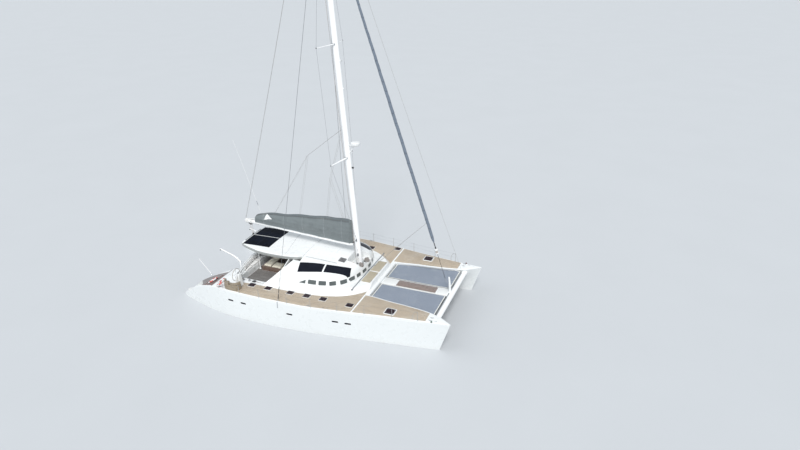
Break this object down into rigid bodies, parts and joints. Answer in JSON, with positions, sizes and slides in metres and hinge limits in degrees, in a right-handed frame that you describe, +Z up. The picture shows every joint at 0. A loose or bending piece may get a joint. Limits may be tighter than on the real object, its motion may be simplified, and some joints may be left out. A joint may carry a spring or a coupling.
{
  "type": "sailing catamaran",
  "caption": "Large cruising sailing catamaran afloat, with decked hulls, hollow saloon, hardtop cockpit, bow nets, raked mast, bagged mainsail on a swinging boom and furled jib.",
  "frame": {"origin": "on the boat's centre plane at the waterline, midway along the overall length", "axes": "+X towards the bow, +Y to port, +Z up"},
  "size_m": [20.4699, 10.738, 29.6303],
  "materials": {
    "gelcoat": "gloss",
    "antifouling": "matte",
    "drive_leg": "satin",
    "bronze": "polished",
    "dark_glass": "gloss",
    "hatch_acrylic": "gloss",
    "locker_teak": "matte",
    "cushion_fabric": "woven",
    "helm_seat_covering": "woven",
    "table_wood": "satin",
    "catwalk_teak": "weathered",
    "netting": "knotless net",
    "spar_white": "satin",
    "radar_plastic": "gloss",
    "rigging_steel": "polished",
    "sail_bag": "canvas",
    "furled_jib": "canvas",
    "solar_panel": "gloss"
  },
  "bodies": {
    "root": {"starboard_hull": "gelcoat", "port_hull": "gelcoat", "starboard_keel": "antifouling", "port_keel": "antifouling", "starboard_saildrive": "drive_leg", "port_saildrive": "drive_leg", "bridgedeck": "gelcoat", "cabin_plinth": "gelcoat", "saloon_wall": "gelcoat", "coachroof": "gelcoat", "saloon_window_band": "dark_glass", "starboard_roof_window": "dark_glass", "port_roof_window": "dark_glass", "starboard_aft_bulkhead": "gelcoat", "port_aft_bulkhead": "gelcoat", "starboard_aft_window": "dark_glass", "port_aft_window": "dark_glass", "cockpit_hardtop": "gelcoat", "starboard_solar_panel": "solar_panel", "port_solar_panel": "solar_panel", "cockpit_aft_seat": "gelcoat", "cockpit_settee": "gelcoat", "settee_cushions": "cushion_fabric", "cockpit_table": "table_wood", "starboard_helm_console": "gelcoat", "port_helm_console": "gelcoat", "starboard_helm_seat": "helm_seat_covering", "port_helm_seat": "helm_seat_covering", "bow_crossbeam": "spar_white", "forestay_post": "gelcoat", "catwalk": "catwalk_teak", "starboard_net": "netting", "port_net": "netting", "jib_track": "rigging_steel", "mast": "spar_white", "lower_spreaders": "spar_white", "upper_spreaders": "spar_white", "radar": "radar_plastic", "starboard_shroud": "rigging_steel", "port_shroud": "rigging_steel", "forestay_and_jib": "furled_jib", "starboard_davit": "gelcoat", "port_davit": "gelcoat", "whip_antenna": "gelcoat", "flagstaff": "rigging_steel"},
    "boom": {"boom": "spar_white", "mainsail_bag": "sail_bag"},
    "starboard_rudder": {"starboard_rudder": "antifouling"},
    "port_rudder": {"port_rudder": "antifouling"},
    "starboard_propeller": {"starboard_propeller": "bronze"},
    "port_propeller": {"port_propeller": "bronze"},
    "starboard_wheel": {"starboard_steering_wheel": "rigging_steel"},
    "port_wheel": {"port_steering_wheel": "rigging_steel"},
    "saloon_door": {"saloon_door": "spar_white", "saloon_door_glass": "dark_glass"},
    "roof_hatch": {"roof_hatch_lid": "hatch_acrylic"},
    "starboard_fore_hatch": {"starboard_fore_hatch_lid": "hatch_acrylic"},
    "port_fore_hatch": {"port_fore_hatch_lid": "hatch_acrylic"},
    "starboard_locker": {"starboard_locker_lid": "locker_teak"},
    "port_locker": {"port_locker_lid": "locker_teak"}
  },
  "joints": [
    {"name": "boom_swing", "type": "hinge", "parent": "root", "child": "boom", "pos_m": [1.93, 0, 4.29], "axis": [-0.0663, 0, 0.9978], "range_deg": [-50, 50]},
    {"name": "starboard_rudder_turn", "type": "hinge", "parent": "root", "child": "starboard_rudder", "pos_m": [-8.3, -3.9, -0.4], "axis": [0, 0, 1], "range_deg": [-35, 35]},
    {"name": "port_rudder_turn", "type": "hinge", "parent": "root", "child": "port_rudder", "pos_m": [-8.3, 3.9, -0.4], "axis": [0, 0, 1], "range_deg": [-35, 35]},
    {"name": "starboard_wheel_turn", "type": "hinge", "parent": "root", "child": "starboard_wheel", "pos_m": [-5.075, -4.38, 2.8403], "axis": [1, 0, 0], "range_deg": [-450, 450]},
    {"name": "port_wheel_turn", "type": "hinge", "parent": "root", "child": "port_wheel", "pos_m": [-5.075, 4.38, 2.8403], "axis": [1, 0, 0], "range_deg": [-450, 450]},
    {"name": "starboard_propeller_spin", "type": "hinge", "parent": "root", "child": "starboard_propeller", "pos_m": [-5.4, -3.9, -0.98], "axis": [1, 0, 0], "continuous": true},
    {"name": "port_propeller_spin", "type": "hinge", "parent": "root", "child": "port_propeller", "pos_m": [-5.4, 3.9, -0.98], "axis": [1, 0, 0], "continuous": true},
    {"name": "saloon_door_slide", "type": "slide", "parent": "root", "child": "saloon_door", "axis": [0, 1, 0], "range_m": [0, 1.25]},
    {"name": "roof_hatch_tilt", "type": "hinge", "parent": "root", "child": "roof_hatch", "pos_m": [1.7236, -1.0028, 3.4967], "axis": [0, 0.9937, 0.1122], "range_deg": [0, 80]},
    {"name": "starboard_fore_hatch_tilt", "type": "hinge", "parent": "root", "child": "starboard_fore_hatch", "pos_m": [6.49, -3.81, 2.055], "axis": [0, 1, 0], "range_deg": [0, 110]},
    {"name": "port_fore_hatch_tilt", "type": "hinge", "parent": "root", "child": "port_fore_hatch", "pos_m": [6.49, 3.81, 2.055], "axis": [0, 1, 0], "range_deg": [0, 110]},
    {"name": "starboard_locker_tilt", "type": "hinge", "parent": "root", "child": "starboard_locker", "pos_m": [3.8, -0.8, 2.42], "axis": [0, 1, 0], "range_deg": [0, 95]},
    {"name": "port_locker_tilt", "type": "hinge", "parent": "root", "child": "port_locker", "pos_m": [3.8, 0.8, 2.42], "axis": [0, 1, 0], "range_deg": [0, 95]}
  ],
  "couplings": [
    {"joint": "port_rudder_turn", "follows": "starboard_rudder_turn", "ratio": 1},
    {"joint": "starboard_wheel_turn", "follows": "starboard_rudder_turn", "ratio": 12.857},
    {"joint": "port_wheel_turn", "follows": "starboard_rudder_turn", "ratio": 12.857}
  ]
}
